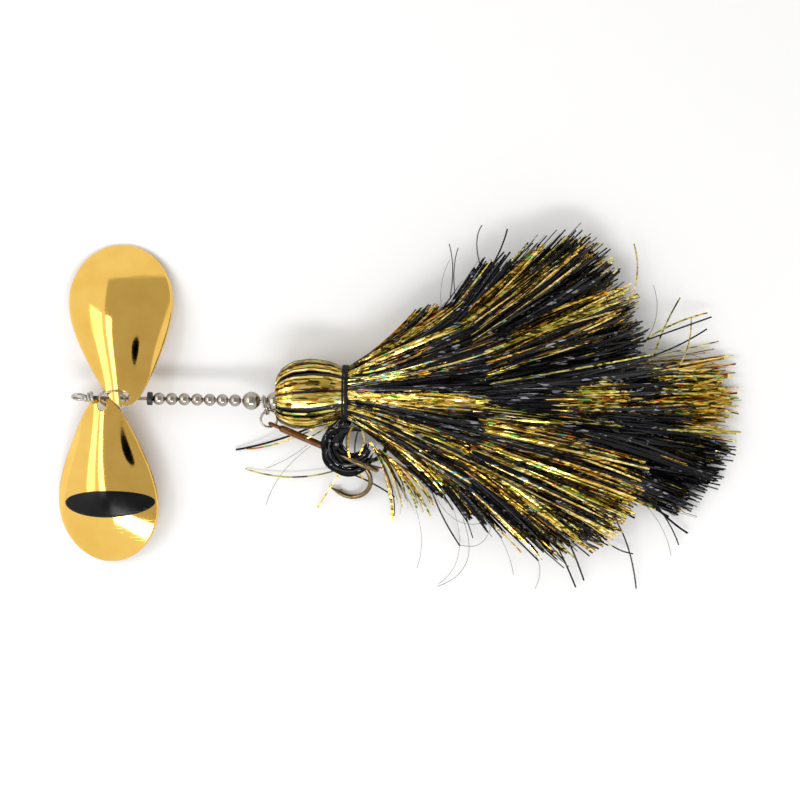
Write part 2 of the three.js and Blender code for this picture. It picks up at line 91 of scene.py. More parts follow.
def tube(path, radius, sides=14, closed=False):
    """A round bar along path. radius is one number or one for each point."""
    path = np.asarray(path, float)
    count = len(path)
    radii = np.broadcast_to(radius, count)
    if closed:
        tangents = np.roll(path, -1, 0) - np.roll(path, 1, 0)
    else:
        tangents = np.gradient(path, axis=0)
    tangents /= np.linalg.norm(tangents, axis=1)[:, None]
    side = np.cross(tangents[0], [0.3, 0.2, 0.93])
    side /= np.linalg.norm(side)
    sides_at = []
    for t in tangents:
        side = side - t * (side @ t)
        side /= np.linalg.norm(side)
        sides_at.append(side)
    sides_at = np.array(sides_at)
    if closed:
        # The carried frame comes back turned a little, so the turn is spread along the loop.
        last = sides_at[-1] - tangents[0] * (sides_at[-1] @ tangents[0])
        off = math.atan2(np.cross(last, sides_at[0]) @ tangents[0], last @ sides_at[0])
    else:
        off = 0.0
    ups = np.cross(tangents, sides_at)
    angles = np.linspace(0, 2 * math.pi, sides, endpoint=False)[None, :]
    angles = angles + np.linspace(0, off, count)[:, None]
    ring = np.cos(angles)[..., None] * sides_at[:, None] + np.sin(angles)[..., None] * ups[:, None]
    verts = (path[:, None] + ring * radii[:, None, None]).reshape(-1, 3)
    faces = []
    for i in range(count if closed else count - 1):
        j = (i + 1) % count
        for k in range(sides):
            n = (k + 1) % sides
            faces.append((i * sides + k, i * sides + n, j * sides + n, j * sides + k))
    if not closed:
        faces.append(tuple(range(sides - 1, -1, -1)))
        faces.append(tuple((count - 1) * sides + k for k in range(sides)))
    return verts, faces


def lathe(profile, segments=40):
    """A closed [x, radius] profile turned about the X axis."""
    x, radius = np.asarray(profile, float).T
    count = len(x)
    angles = np.linspace(0, 2 * math.pi, segments, endpoint=False)
    copies = [np.column_stack([x, radius * math.cos(a), radius * math.sin(a)]) for a in angles]
    faces = []
    for s in range(segments):
        t = (s + 1) % segments
        for i in range(count):
            j = (i + 1) % count
            faces.append((s * count + i, s * count + j, t * count + j, t * count + i))
    return np.concatenate(copies), faces


def column(half_width, half_height, middle, reach, sides):
    """An upright column with an oval cross-section round middle, from -reach to reach."""
    angles = np.linspace(0, 2 * math.pi, sides, endpoint=False)
    x = middle[0] + half_width * np.cos(angles)
    y = middle[1] + half_height * np.sin(angles)
    rim = np.column_stack([x, y])
    verts = np.vstack([np.column_stack([rim, np.full(sides, z)]) for z in (-reach, reach)])
    faces = [(i, (i + 1) % sides, sides + (i + 1) % sides, sides + i) for i in range(sides)]
    return verts, faces + [tuple(range(sides - 1, -1, -1)), tuple(range(sides, 2 * sides))]


def arc(radius, start, end, steps):
    """Points on a circle in the XY plane, in degrees."""
    angles = np.radians(np.linspace(start, end, steps))
    return np.column_stack([radius * np.cos(angles), radius * np.sin(angles), np.zeros(steps)])


def linked(name, data):
    obj = bpy.data.objects.new(name, data)
    bpy.context.scene.collection.objects.link(obj)
    return obj


def mesh_object(name, part, *looks):
    verts, faces = part
    mesh = bpy.data.meshes.new(name)
    mesh.from_pydata(((verts + ORIGIN) / 1000).tolist(), [], faces)
    mesh.update()
    for look in looks:
        mesh.materials.append(look)
    mesh.polygons.foreach_set("use_smooth", [True] * len(mesh.polygons))
    return linked("look_" + name, mesh)


def stands_for(obj, node, body):
    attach(obj, body)
    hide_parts(node)


def grow(part, node, body, look):
    """One mesh that takes the place of a node and has its name."""
    stands_for(mesh_object(node, part, look), node, body)


# ---------------------------------------------------------------- materials
def material(name, color, metallic=0.0, roughness=0.4, **sockets):
    made = bpy.data.materials.new(name)
    made.use_nodes = True
    shader = made.node_tree.nodes["Principled BSDF"]
    shader.inputs["Base Color"].default_value = (*color, 1)
    shader.inputs["Metallic"].default_value = metallic
    shader.inputs["Roughness"].default_value = roughness
    for key, value in sockets.items():
        shader.inputs[key.replace("_", " ")].default_value = value
    return made


def add_node(made, kind, inputs=None):
    """A new node in a material, with each input linked to a socket or set to a value."""
    node = made.node_tree.nodes.new(kind)
    for key, value in (inputs or {}).items():
        if isinstance(value, bpy.types.NodeSocket):
            made.node_tree.links.new(value, node.inputs[key])
        else:
            node.inputs[key].default_value = value
    return node


def object_place(made):
    return add_node(made, "ShaderNodeTexCoord").outputs["Object"]


def to_shader(made, socket, name):
    made.node_tree.links.new(socket, made.node_tree.nodes["Principled BSDF"].inputs[name])


def ramp(made, factor, stops, interpolation="LINEAR"):
    node = add_node(made, "ShaderNodeValToRGB", {"Fac": factor})
    node.color_ramp.interpolation = interpolation
    elements = node.color_ramp.elements
    while len(elements) < len(stops):
        elements.new(0.5)
    for element, (position, color) in zip(elements, stops):
        element.position = position
        element.color = (*color, 1)
    return node.outputs["Color"]


def grey(level):
    return (level, level, level)


def noise(made, place, scale, detail):
    inputs = {"Vector": place, "Scale": scale, "Detail": detail}
    return add_node(made, "ShaderNodeTexNoise", inputs).outputs["Fac"]


def mapped(made, scale, rotation=(0, 0, 0)):
    inputs = {"Vector": object_place(made), "Rotation": rotation, "Scale": scale}
    return add_node(made, "ShaderNodeMapping", inputs).outputs["Vector"]


def bump(made, height, strength, distance):
    inputs = {"Height": height, "Strength": strength, "Distance": distance}
    to_shader(made, add_node(made, "ShaderNodeBump", inputs).outputs["Normal"], "Normal")


def worn_metal(name, color, dark, roughness, scale, scratch=0.02):
    """Plated metal with smudges that change its gloss and hairline scratches in its surface."""
    made = material(name, color, metallic=1.0, roughness=roughness)
    smudge = noise(made, object_place(made), scale, 4.0)
    gloss = ramp(made, smudge, [(0.35, grey(roughness * 0.7)), (0.75, grey(roughness * 1.6))])
    to_shader(made, gloss, "Roughness")
    to_shader(made, ramp(made, smudge, [(0.3, color), (0.85, dark)]), "Base Color")
    lines = noise(made, mapped(made, (90, 2600, 90), (0.2, 0.1, 0.7)), 1.0, 2.0)
    bump(made, ramp(made, lines, [(0.28, grey(0)), (0.36, grey(1))]), scratch, 0.0001)
    return made


def moulded(name, color, roughness, scale, relief, specular=0.5):
    """A dull surface, mottled in gloss, with a fine grain."""
    made = material(name, color, roughness=roughness, Specular_IOR_Level=specular)
    grain = noise(made, object_place(made), scale, 5.0)
    gloss = ramp(made, grain, [(0.3, grey(roughness * 0.7)), (0.7, grey(roughness * 1.4))])
    to_shader(made, gloss, "Roughness")
    lighter = tuple(c * 1.5 + 0.004 for c in color)
    to_shader(made, ramp(made, grain, [(0.35, color), (0.8, lighter)]), "Base Color")
    bump(made, grain, relief, 0.0002)
    return made


def film(name, stops, metallic, roughness, specular=0.5):
    """Embossed film: its colour changes in short cells along the strands, and its surface ripples. Some
    films' cells hold painted glints, painted highlight and painted shade.
    """
    made = material(name, stops[0][1], metallic=metallic, roughness=roughness, Specular_IOR_Level=specular)
    place = mapped(made, (230, 1250, 1250))
    cells = add_node(made, "ShaderNodeTexVoronoi", {"Vector": place, "Scale": 1.0})
    picked = add_node(made, "ShaderNodeSeparateColor", {"Color": cells.outputs["Color"]}).outputs["Red"]
    to_shader(made, ramp(made, picked, stops, "CONSTANT"), "Base Color")
    bump(made, noise(made, place, 0.8, 1.0), 0.5, 0.0003)
    return made


GOLD = worn_metal("gilt", (0.9, 0.58, 0.14), (0.8, 0.47, 0.09), 0.075, 90, 0.04)
NICKEL = worn_metal("nickel", (0.45, 0.415, 0.36), (0.28, 0.25, 0.205), 0.15, 300)
STEEL = worn_metal("spring_wire", (0.5, 0.49, 0.47), (0.34, 0.32, 0.3), 0.26, 400)
BRONZE = worn_metal("bronzed", (0.26, 0.18, 0.085), (0.1, 0.065, 0.03), 0.2, 300)
BRAZED = worn_metal("brazed", (0.27, 0.115, 0.05), (0.075, 0.035, 0.017), 0.24, 260)
LABEL = moulded("label_black", (0.001, 0.001, 0.0015), 0.2, 120, 0.0, 0.2)
WASHER = moulded("washer_black", (0.01, 0.01, 0.011), 0.42, 700, 0.15)
CORE = moulded("core_plastic", (0.5, 0.47, 0.42), 0.5, 500, 0.1)
THREAD = moulded("thread_black", (0.004, 0.0035, 0.006), 0.6, 2500, 0.5, 0.25)
HAIR = moulded("loose_hair", (0.05, 0.05, 0.055), 0.5, 900, 0.0)

# A film's stops: the share of its cells at which a colour begins, and the colour. Some of these colours are
# painted light, as said at each film.
DARK = [(0, (0.002, 0.002, 0.003)), (0.55, (0.005, 0.0045, 0.007))]
# Black film whose grey cells are painted glints: specks of reflected light painted into its colour.
BLACK_WITH_PAINTED_GLINTS = [(0, (0.004, 0.004, 0.005)), (0.5, (0.01, 0.01, 0.013)), (0.93, (0.3, 0.3, 0.34))]
# Gold films: the mid cells are the foil's own tones, the palest cells are partly its own tone and partly
# painted highlight, and the darkest are partly its own tone and partly painted shade.
BRIGHT_GOLD_AND_PAINTED_LIGHT = [
    (0, (0.95, 0.72, 0.22)), (0.4, (0.78, 0.52, 0.1)), (0.62, (1, 0.9, 0.5)), (0.78, (0.42, 0.27, 0.04)),
]
AMBER_GOLD_AND_PAINTED_LIGHT = [
    (0, (0.7, 0.42, 0.06)), (0.35, (0.42, 0.22, 0.025)), (0.6, (0.9, 0.6, 0.13)), (0.74, (0.1, 0.055, 0.012)),
]
GREEN_GOLD_AND_PAINTED_LIGHT = [
    (0, (0.62, 0.55, 0.08)), (0.35, (0.3, 0.26, 0.03)), (0.58, (0.9, 0.84, 0.3)), (0.76, (0.06, 0.05, 0.012)),
]
SPARKS = [(0.95, (0.2, 0.5, 0.1)), (0.972, (0.15, 0.45, 0.36)), (0.982, (0.75, 0.16, 0.03))]
BLACK_FILM = film("black_film", DARK, 0.0, 0.2, 0.2)
# The second black film carries the painted glints of the stops above.
PAINTED_GLINT_FILM = film("painted_glint_film", BLACK_WITH_PAINTED_GLINTS, 0.0, 0.14, 0.42)
BLACK_FILMS = [BLACK_FILM, PAINTED_GLINT_FILM]
# Gold films whose pale and dark cells are partly painted highlight and painted shade.
GOLD_FILMS = [
    film("bright_gold_film_painted_light", BRIGHT_GOLD_AND_PAINTED_LIGHT + SPARKS, 1.0, 0.2),
    film("amber_gold_film_painted_light", AMBER_GOLD_AND_PAINTED_LIGHT + SPARKS, 1.0, 0.24),
    film("green_gold_film_painted_light", GREEN_GOLD_AND_PAINTED_LIGHT + SPARKS, 1.0, 0.22),
]


# ---------------------------------------------------------------- shaft, beads and core tubes
def coil(radius, pitch, turns):
    steps = 26
    angles = np.linspace(0, 2 * math.pi * turns, int(steps * turns))
    return np.column_stack([pitch * angles / (2 * math.pi), radius * np.cos(angles), radius * np.sin(angles)])


def wrapped_eye(radius):
    """A loop of the shaft's wire round the origin, closed by turns round a neck along +X."""
    opened = 24  # degrees, each side of the neck
    eye = tube(arc(radius, opened, 360 - opened, 40), SHAFT_RADIUS)
    turns = coil(SHAFT_RADIUS * 1.85, 2 * SHAFT_RADIUS - 0.04, 2.5)
    wraps = placed(tube(turns, SHAFT_RADIUS), offset=(radius - 0.1, 0, 0))
    neck = tube([(radius - 0.9, 0, 0), (radius + 1.2, 0, 0)], SHAFT_RADIUS * 1.3)
    return joined([eye, wraps, neck])


def shaft():
    front = placed(wrapped_eye(FRONT_EYE), turn("X", 70), (FRONT_EYE + SHAFT_RADIUS, 0, AXIS))
    rear = placed(wrapped_eye(REAR_EYE), turn("Z", 180) @ turn("X", 90), (REAR_EYE_X + REAR_EYE, 0, AXIS))
    straight = tube([(5.4, 0, AXIS), (REAR_EYE_X, 0, AXIS)], SHAFT_RADIUS)
    tag = tube([(7.3, 0.9, AXIS + 0.4), (7.8, 2, AXIS + 0.8)], SHAFT_RADIUS * 0.9)
    grow(joined([front, rear, straight, tag]), "wire_shaft", "lure_body", STEEL)


def bead(name, radius):
    low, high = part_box(name)
    centre = np.array((low + high) / 2) * 1000 - ORIGIN
    edge = math.asin(BORE / radius)
    angles = np.linspace(edge, math.pi - edge, 22)
    ball = np.column_stack([-radius * np.cos(angles), radius * np.sin(angles)])
    grow(placed(lathe(ball), offset=centre), name, name + "_body", NICKEL)


def sleeve(name, body, look, radius):
    """A bored tube with rounded edges, as long as its node."""
    rounding = 0.25
    low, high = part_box(name)
    x0, x1 = low.x * 1000 - ORIGIN[0], high.x * 1000 - ORIGIN[0]
    profile = [
        (x0, BORE),
        (x0, radius - rounding),
        (x0 + rounding * 0.3, radius - rounding * 0.3),
        (x0 + rounding, radius),
        (x1 - rounding, radius),
        (x1 - rounding * 0.3, radius - rounding * 0.3),
        (x1, radius - rounding),
        (x1, BORE),
    ]
    grow(placed(lathe(profile), offset=(0, 0, AXIS)), name, body, look)


# ---------------------------------------------------------------- rings and clevis
def split_ring(radius, wire, seam):
    """Two flat coils of one wire, which steps from one to the other at the seam."""
    width = math.radians(70)  # of the step
    angles = np.linspace(width / 2, 4 * math.pi - width / 2, 130)
    climb = np.clip((angles - (2 * math.pi - width / 2)) / width, 0, 1)
    climb = climb * climb * (3 - 2 * climb)
    around = angles + math.radians(seam)
    level = (2 * wire + 0.03) * (climb - 0.5)
    return tube(np.column_stack([radius * np.cos(around), radius * np.sin(around), level]), wire, 12)


def rings():
    blade_tilt, hook_tilt = turn("X", BLADE_RING_TILT), turn("Y", HOOK_RING_TILT)
    blade_ring = placed(split_ring(BLADE_RING, 0.34, 90), blade_tilt, BLADE_RING_CENTRE)
    grow(blade_ring, "blade_split_ring", "blade_ring", NICKEL)
    hanger = placed(split_ring(3.6, 0.36, 90), turn("Z", 15) @ turn("Y", 90), (73.87, -1.47, AXIS - 0.2))
    grow(hanger, "hook_hanger_ring", "hanger", NICKEL)
    height = HOOK_HEIGHT + HOOK_RING * math.sin(math.radians(HOOK_RING_TILT))
    x, y = 75.35, -6.75
    heading = math.degrees(math.atan2(FRONT_HOOK_EYE[1] - y, FRONT_HOOK_EYE[0] - x))
    front = placed(split_ring(HOOK_RING, 0.38, 70), turn("Z", heading) @ hook_tilt, (x, y, height))
    grow(front, "front_split_ring", "front_ring", NICKEL)
    rear = placed(split_ring(HOOK_RING, 0.38, 90), hook_tilt, (155.8, 0, height))
    grow(rear, "rear_split_ring", "rear_ring", NICKEL)


def smooth_path(points, steps):
    """A Catmull-Rom curve through points."""
    points = np.asarray(points, float)
    padded = np.vstack([2 * points[0] - points[1], points, 2 * points[-1] - points[-2]])
    out = []
    for p0, p1, p2, p3 in zip(padded, padded[1:], padded[2:], padded[3:]):
        first, second, third = p2 - p0, 2 * p0 - 5 * p1 + 4 * p2 - p3, 3 * p1 - p0 - 3 * p2 + p3
        for t in np.linspace(0, 1, steps, endpoint=False):
            out.append(0.5 * (2 * p1 + first * t + second * t**2 + third * t**3))
    out.append(points[-1])
    return np.array(out)


def clevis():
    wire, eye, left, right, reach, corner = 0.42, 1.35, 18.2, 22.2, 3.5, 0.8
    loop = tube(arc(eye, 0, 350, 36), wire, 12, closed=True)
    eyes = [placed(loop, turn("Y", 90), (x, 0, 0)) for x in (left, right)]
    bow = [
        (left, -eye, 0),
        (left, -reach + corner, 0),
        (left + corner, -reach, 0),
        (right - corner, -reach, 0),
        (right, -reach + corner, 0),
        (right, -eye, 0),
    ]
    part = joined([*eyes, tube(smooth_path(bow, 8), wire, 12)])
    part = placed(part, turn("X", -25), (0, 0, AXIS))
    grow(part, "blade_clevis", "clevis", STEEL)


# ---------------------------------------------------------------- blades
# A place on a blade is given by t, from 0 at the tip with the hole to 1, and s, from -1 to 1 across.
def blade_half_width(t):
    swell = np.sin(math.pi * t / 2) ** 2
    return BLADE_LENGTH * np.sqrt(t * (1 - t) * (0.153 + 0.378 * swell))


def blade_rise(t, s):
    return BLADE_DEPTH * np.sin(math.pi * t) * (1 - s * s)


HOLE_RISE = float(blade_rise(HOLE_FROM_TIP / BLADE_LENGTH, 0.0))


def blade_sheet(inside, outside, across=40, along=90):
    """A shell between two offsets from the blade's middle surface, closed round its rim."""
    end = 0.0025  # left off at each tip, so that the rim has no zero-length edge
    s = np.linspace(-1, 1, across + 1)
    t = end + (1 - 2 * end) * (0.5 - 0.5 * np.cos(np.linspace(0, math.pi, along + 1)))
    S, T = np.meshgrid(s, t)
    X = S * blade_half_width(T)
    Y = T * BLADE_LENGTH
    Z = blade_rise(T, S)
    layers = [np.stack([X, Y, Z + h], -1) for h in (outside, inside)]
    layers = [(layer - [0, HOLE_FROM_TIP, HOLE_RISE]).reshape(-1, 3) for layer in layers]
    width, count = across + 1, (across + 1) * (along + 1)
    faces = []
    for i in range(along):
        for j in range(across):
            a = i * width + j
            faces.append((a, a + 1, a + width + 1, a + width))
            faces.append((count + a, count + a + width, count + a + width + 1, count + a + 1))
    rim = list(range(width))
    rim += [i * width + across for i in range(1, along + 1)]
    rim += [along * width + j for j in range(across - 1, -1, -1)]
    rim += [i * width for i in range(along - 1, 0, -1)]
    for a, b in zip(rim, rim[1:] + rim[:1]):
        faces.append((b, a, count + a, count + b))
    return np.concatenate(layers), faces


def cut_with(obj, cutter, operation):
    modifier = obj.modifiers.new("cut", "BOOLEAN")
    modifier.operation = operation
    modifier.solver = "EXACT"
    modifier.object = cutter
    bpy.context.view_layer.objects.active = obj
    with bpy.context.temp_override(object=obj, active_object=obj, selected_objects=[obj]):
        bpy.ops.object.modifier_apply(modifier=modifier.name)
    bpy.data.objects.remove(cutter)


def on_blade_ring(degrees):
    angle, tilt = math.radians(degrees), math.radians(BLADE_RING_TILT)
    along, across = BLADE_RING * math.cos(angle), BLADE_RING * math.sin(angle)
    return BLADE_RING_CENTRE + [along, across * math.cos(tilt), across * math.sin(tilt)]


def settled(part, hole, heading, roll):
    """Hung at its hole, with the far end lowered till the rim is just over the table."""
    pitch = 0.0
    for _ in range(6):
        rotation = turn("Z", heading) @ turn("X", pitch) @ turn("Y", roll)
        low = placed(part, rotation, hole)[0][:, 2].min()
        pitch -= math.degrees((low - BLADE_GAP) / (BLADE_LENGTH - HOLE_FROM_TIP))
    return rotation


def blades():
    half = BLADE_THICKNESS / 2
    sheet = blade_sheet(-half, half)
    # Name, body, place of the hole, and heading and roll in degrees.
    poses = [
        ("plain_blade", "upper_blade", on_blade_ring(15), 5.6, 0),
        ("badge_blade", "lower_blade", on_blade_ring(225) + [-0.8, -0.5, 0.2], 183.6, 11),
    ]
    for name, body, hole, heading, roll in poses:
        rotation = settled(sheet, hole, heading, roll)
        obj = mesh_object(name, placed(sheet, rotation, hole), GOLD)
        plug = column(HOLE_RADIUS, HOLE_RADIUS, (0, 0), 3, 48)
        cut_with(obj, mesh_object("plug", placed(plug, rotation, hole)), "DIFFERENCE")
        stands_for(obj, name, body)
    # The label lies just over the second blade, which was placed last, and is cut to an oval.
    label_sheet = blade_sheet(half + 0.12, half + 0.36)
    label = mesh_object("blade_badge", placed(label_sheet, rotation, hole), LABEL)
    half_width, half_height, middle = 17.8, 5.2, (-1.2, 40.5 - HOLE_FROM_TIP)
    oval = column(half_width, half_height, middle, 20, 96)
    cut_with(label, mesh_object("oval", placed(oval, rotation, hole)), "INTERSECT")
    stands_for(label, "blade_badge", "lower_blade")


# ---------------------------------------------------------------- hooks
def treble_hook(name, body, eye, heading):
    """Made with its eye at the origin, its shank along +X and the first of three prongs straight up."""
    wire, spread, tip_steps = 0.9, 16.7, 10
    bend = (spread - wire) / 2
    centre = np.array([34.5, 0, wire + bend])
    angles = np.linspace(-math.pi / 2, math.pi / 2, 24)
    path = [(22, 0, wire * 0.75), (28, 0, wire * 0.9)]
    path += [tuple(centre + [bend * math.cos(a), 0, bend * math.sin(a)]) for a in angles]
    straight = smooth_path(path, 3)
    tip_from, tip_to = np.array([32.9, 0, spread - 0.1]), np.array([27.8, 0, 15.7])
    tip = tip_from + (tip_to - tip_from) * np.linspace(0.1, 1, tip_steps)[:, None]
    prong_path = np.vstack([straight, tip])
    radii = np.concatenate([np.full(len(straight), wire), np.linspace(wire * 0.97, 0.09, tip_steps)])
    prong = tube(prong_path, radii, 14)
    barb = tube([(31.5, 0, 15.9), (32.9, 0, 14.9), (33.3, 0, 14.55)], [0.5, 0.25, 0.06], 8)
    prongs = [placed(joined([prong, barb]), turn("X", a)) for a in (0, 120, 240)]
    eye_part = placed(tube(arc(2.05, 0, 352, 44), 0.7, 14, closed=True), turn("X", 90))
    shank_x, shank_radii = [2.05, 3.2, 24, 28.4, 30], [1.0, 1.35, 1.35, 1.2, 0.3]
    shank = tube([(x, 0, 0) for x in shank_x], shank_radii, 18)
    rotation = turn("Z", heading)
    bright = placed(joined([eye_part, shank]), rotation, (*eye, HOOK_HEIGHT))
    dark = placed(joined(prongs), rotation, (*eye, HOOK_HEIGHT))
    part = joined([bright, dark])
    obj = mesh_object(name, part, BRAZED, BRONZE)
    index = np.zeros(len(part[1]), int)
    index[len(bright[1]) :] = 1
    obj.data.polygons.foreach_set("material_index", index)
    stands_for(obj, name, body)


# ---------------------------------------------------------------- skirts
# Cross-sections of each tied bundle: x, middle y, half width, lowest z, highest z.
FRONT = np.array(
    [
        [102.6, 3.8, 10, 2.2, 21.4],
        [105.6, 3.8, 10, 2.2, 21.4],
        [112, 4, 14.3, 1.4, 23],
        [127, 4.6, 25.4, -1.6, 28],
        [142, 6.1, 35.5, -1.6, 32.5],
        [152, 8.5, 43, -1.6, 34.4],
        [160, 9.2, 45, -1.6, 34],
        [185, 9.2, 52, -1.6, 33.5],
    ]
)
MIDDLE = np.array(
    [
        [116, 0, 5, 6.8, 16.8],
        [119, 0, 5, 6.8, 16.8],
        [127, 2.6, 19, 1.4, 25.4],
        [142, 4.8, 31, -1.6, 30.2],
        [156, 8.6, 43, -1.6, 32.2],
        [163, 9.4, 50, -1.6, 32.8],
        [176, 8.2, 54.8, -1.6, 33],
        [188, 8.3, 57.6, -1.6, 32.8],
        [199, 6.4, 51.5, -1.6, 31.6],
        [208, 3.5, 46, -1.6, 27],
        [222, 3.5, 44, -1.6, 21],
    ]
)
REAR = np.array(
    [
        [133.6, 0, 4.8, 7, 16.6],
        [136.4, 0, 4.8, 7, 16.6],
        [144, 1, 12, 3, 24],
        [152, 1, 22, -1.6, 30],
        [162, 1, 25.5, -1.6, 31.3],
        [200, 0, 26.5, -1.6, 31.3],
        [212, -2.5, 26.5, -1.6, 24],
        [228, -4.6, 25.5, -1.6, 16],
        [246, -5.2, 26.2, -1.6, 11.5],
        [258, -5, 26.5, 0.4, 8],
    ]
)
# What each bundle lies round: the bundle inside it, or the room round the rear hook.
HOLLOW = np.array(
    [
        [136, 0, 3.4, 8.4, 15.2],
        [142, 0, 5, -20, 20.4],
        [147, 0, 9, -24, 24.4],
        [152, 0, 16, -27, 27.4],
        [162, 0, 22.2, -30, 30],
        [202, 0, 22.6, -30, 30],
        [209, 0, 21, -24, 25],
        [222, 0, 0.5, -1, 1],
        [260, 0, 0.5, -1, 1],
    ]
)


def heights(rows, x, y):
    """Lowest and highest z of a bundle at x and y. Beyond its sides both are its middle height."""
    middle, half, low, high = (np.interp(x, rows[:, 0], rows[:, i]) for i in range(1, 5))
    share = np.clip(1 - ((y - middle) / half) ** 2, 0, 1)
    centre, reach = (low + high) / 2, (high - low) / 2
    top = centre + reach * share**0.575
    bottom = centre - reach * share**0.35
    inside = (x >= rows[0, 0]) & (x <= rows[-1, 0])
    return np.where(inside, bottom, AXIS), np.where(inside, top, AXIS)


def drift(count, points, size):
    """A slow random wander for each strand, zero at its start."""
    spans = 4
    knots = rng.normal(0, size, (count, spans + 1)).cumsum(1)
    knots[:, 0] = 0
    at = np.linspace(0, spans, points)
    low = np.clip(at.astype(int), 0, spans - 1)
    share = at - low
    share = share * share * (3 - 2 * share)
    return knots[:, low] * (1 - share) + knots[:, low + 1] * share


def lock_strands(tier, locks, each, points, share=None, under=False):
    """Strands in locks: each lock has its own place across the bundle at the tie and its own cut length.

    Gives the paths, and for each strand the lock it belongs to and its share across, -1 to 1.
    """
    if share is None:
        share = np.linspace(-1, 1, locks) + rng.normal(0, 1 / locks, locks)
    shares, bearings, reaches = zip(*tier["fan"])
    depth = rng.uniform(0.1, 1, locks) ** 0.7
    cut_length = np.interp(share, shares, reaches) * (1 - np.abs(rng.normal(0, 0.06, locks)))
    lock = np.repeat(np.arange(locks), each)
    count = len(lock)
    along = np.linspace(0, 1, points)[None, :]
    bearing = np.interp(share, shares, bearings) + rng.normal(0, 1.8, locks)
    bearing = np.radians(bearing[lock] + rng.normal(0, tier["loose"], count))[:, None]
    length = (cut_length[lock] * (1 + np.clip(rng.normal(0, 0.03, count), -0.2, 0.045)))[:, None]
    bent_by = (rng.normal(0, 0.018, locks)[lock] + rng.normal(0, 0.012, count))[:, None]
    bow = bent_by * length * along * (1 - along) * 4
    rows, tie = tier["rows"], tier["tie"]
    middle, half = (np.interp(tie, rows[:, 0], rows[:, i]) for i in (1, 2))
    start = middle + 0.9 * half * np.clip(share[lock] + rng.normal(0, 0.08, count), -1, 1)[:, None]
    at_tie = (1 - along) ** 1.5
    fanned = along * (1 - 0.12 * (1 - along))
    x = tie + along * length * np.cos(bearing)
    y = start * at_tie + middle * (1 - at_tie) + fanned * length * np.sin(bearing) + bow
    level = (depth[lock] + rng.normal(0, 0.1, count))[:, None]
    level = np.clip(level + drift(count, points, 0.03), 0.03, 1)
    low_out, high_out = heights(rows, x, y)
    low_in, high_in = heights(tier["inside"], x, y)
    if under:
        z = np.maximum(low_in, low_out) - level * np.maximum(low_in - low_out, 0)
    else:
        high_in = np.minimum(high_in, high_out)
        z = high_in + level * (high_out - high_in)
    z -= tier["droop"] * along**4 * z
    z = np.maximum(smoothed(z), 0.25 + 1.5 * level)
    return np.stack([x, y, z], -1), lock, share[lock]


def smoothed(values, times=2):
    """Evens out each row of values and keeps its two ends."""
    for _ in range(times):
        inner = (values[:, :-2] + 2 * values[:, 1:-1] + values[:, 2:]) / 4
        values = np.concatenate([values[:, :1], inner, values[:, -1:]], 1)
    return values


def clear_of_hook(paths):
    """Lifts strands out of the room that the front hook swings in: a flat ring sector about its eye."""
    inner, outer, last_bearing, room_top = 22.5, 49, 13, 12.6
    x, y, z = paths[..., 0] - FRONT_HOOK_EYE[0], paths[..., 1] - FRONT_HOOK_EYE[1], paths[..., 2]
    reach = np.hypot(x, y)
    bearing = np.degrees(np.arctan2(y, x))
    near = (reach > inner) & (reach < outer) & (bearing < last_bearing)
    lifted = np.maximum(z, room_top + 0.6 * rng.uniform(size=z.shape[:1])[:, None])
    paths[..., 2] = np.where(near, lifted, z)
    return paths


def ribbons(paths, width, side=None):
    """Flat strips along paths, square at their ends.

    side is the direction of their width, with its size. Without it each strip is turned by chance.
    """
    twist, lowest = 0.9, 0.12
    count, points, _ = paths.shape
    if side is None:
        tangents = np.gradient(paths, axis=1)
        tangents /= np.maximum(np.linalg.norm(tangents, axis=2, keepdims=True), 1e-9)
        level = np.cross(tangents, np.array([0, 0, 1.0]))
        level /= np.maximum(np.linalg.norm(level, axis=2, keepdims=True), 1e-9)
        up = np.cross(level, tangents)
        roll = rng.normal(0, 0.45, (count, 1)) + rng.normal(0, twist, (count, 1)) * np.linspace(0, 1, points)
        roll = (roll + drift(count, points, 0.3))[..., None]
        side = level * np.cos(roll) + up * np.sin(roll)
    edge = side * rng.uniform(*width, count)[:, None, None] / 2
    verts = np.stack([paths - edge, paths + edge], 2).reshape(-1, 3)
    verts[:, 2] = np.maximum(verts[:, 2], lowest)
    base = (np.arange(count) * points * 2)[:, None] + (np.arange(points - 1) * 2)[None, :]
    return verts, np.stack([base, base + 1, base + 3, base + 2], -1)


def ribbon_object(name, verts, quads, films):
    """One mesh of strips, with one film or another for each strip."""
    count, steps, _ = quads.shape
    flat = quads.reshape(-1, 4)
    mesh = bpy.data.meshes.new(name)
    mesh.vertices.add(len(verts))
    mesh.vertices.foreach_set("co", ((verts + ORIGIN) / 1000).astype(np.float32).ravel())
    mesh.loops.add(flat.size)
    mesh.loops.foreach_set("vertex_index", flat.astype(np.int32).ravel())
    mesh.polygons.add(len(flat))
    mesh.polygons.foreach_set("loop_start", np.arange(0, flat.size, 4, dtype=np.int32))
    mesh.polygons.foreach_set("loop_total", np.full(len(flat), 4, np.int32))
    mesh.polygons.foreach_set("use_smooth", np.ones(len(flat), bool))
    for look in films:
        mesh.materials.append(look)
    picked = np.repeat(rng.integers(0, len(films), count), steps)
    mesh.polygons.foreach_set("material_index", picked.astype(np.int32))
    mesh.update(calc_edges=True)
    return linked("look_" + name, mesh)


def dressed(name, node, body, paths, gold, width=(0.55, 0.82), side=None):
    """Gold and black strips for one bundle, in a mesh each."""
    verts, quads = ribbons(paths, width, side)
    points = paths.shape[1] * 2
    for label, chosen, films in (("gold", gold, GOLD_FILMS), ("black", ~gold, BLACK_FILMS)):
        if not chosen.any():
            continue
        kept = verts.reshape(-1, points, 3)[chosen].reshape(-1, 3)
        strips = quads[: chosen.sum()]
        stands_for(ribbon_object(f"{name}_{label}", kept, strips, films), node, body)


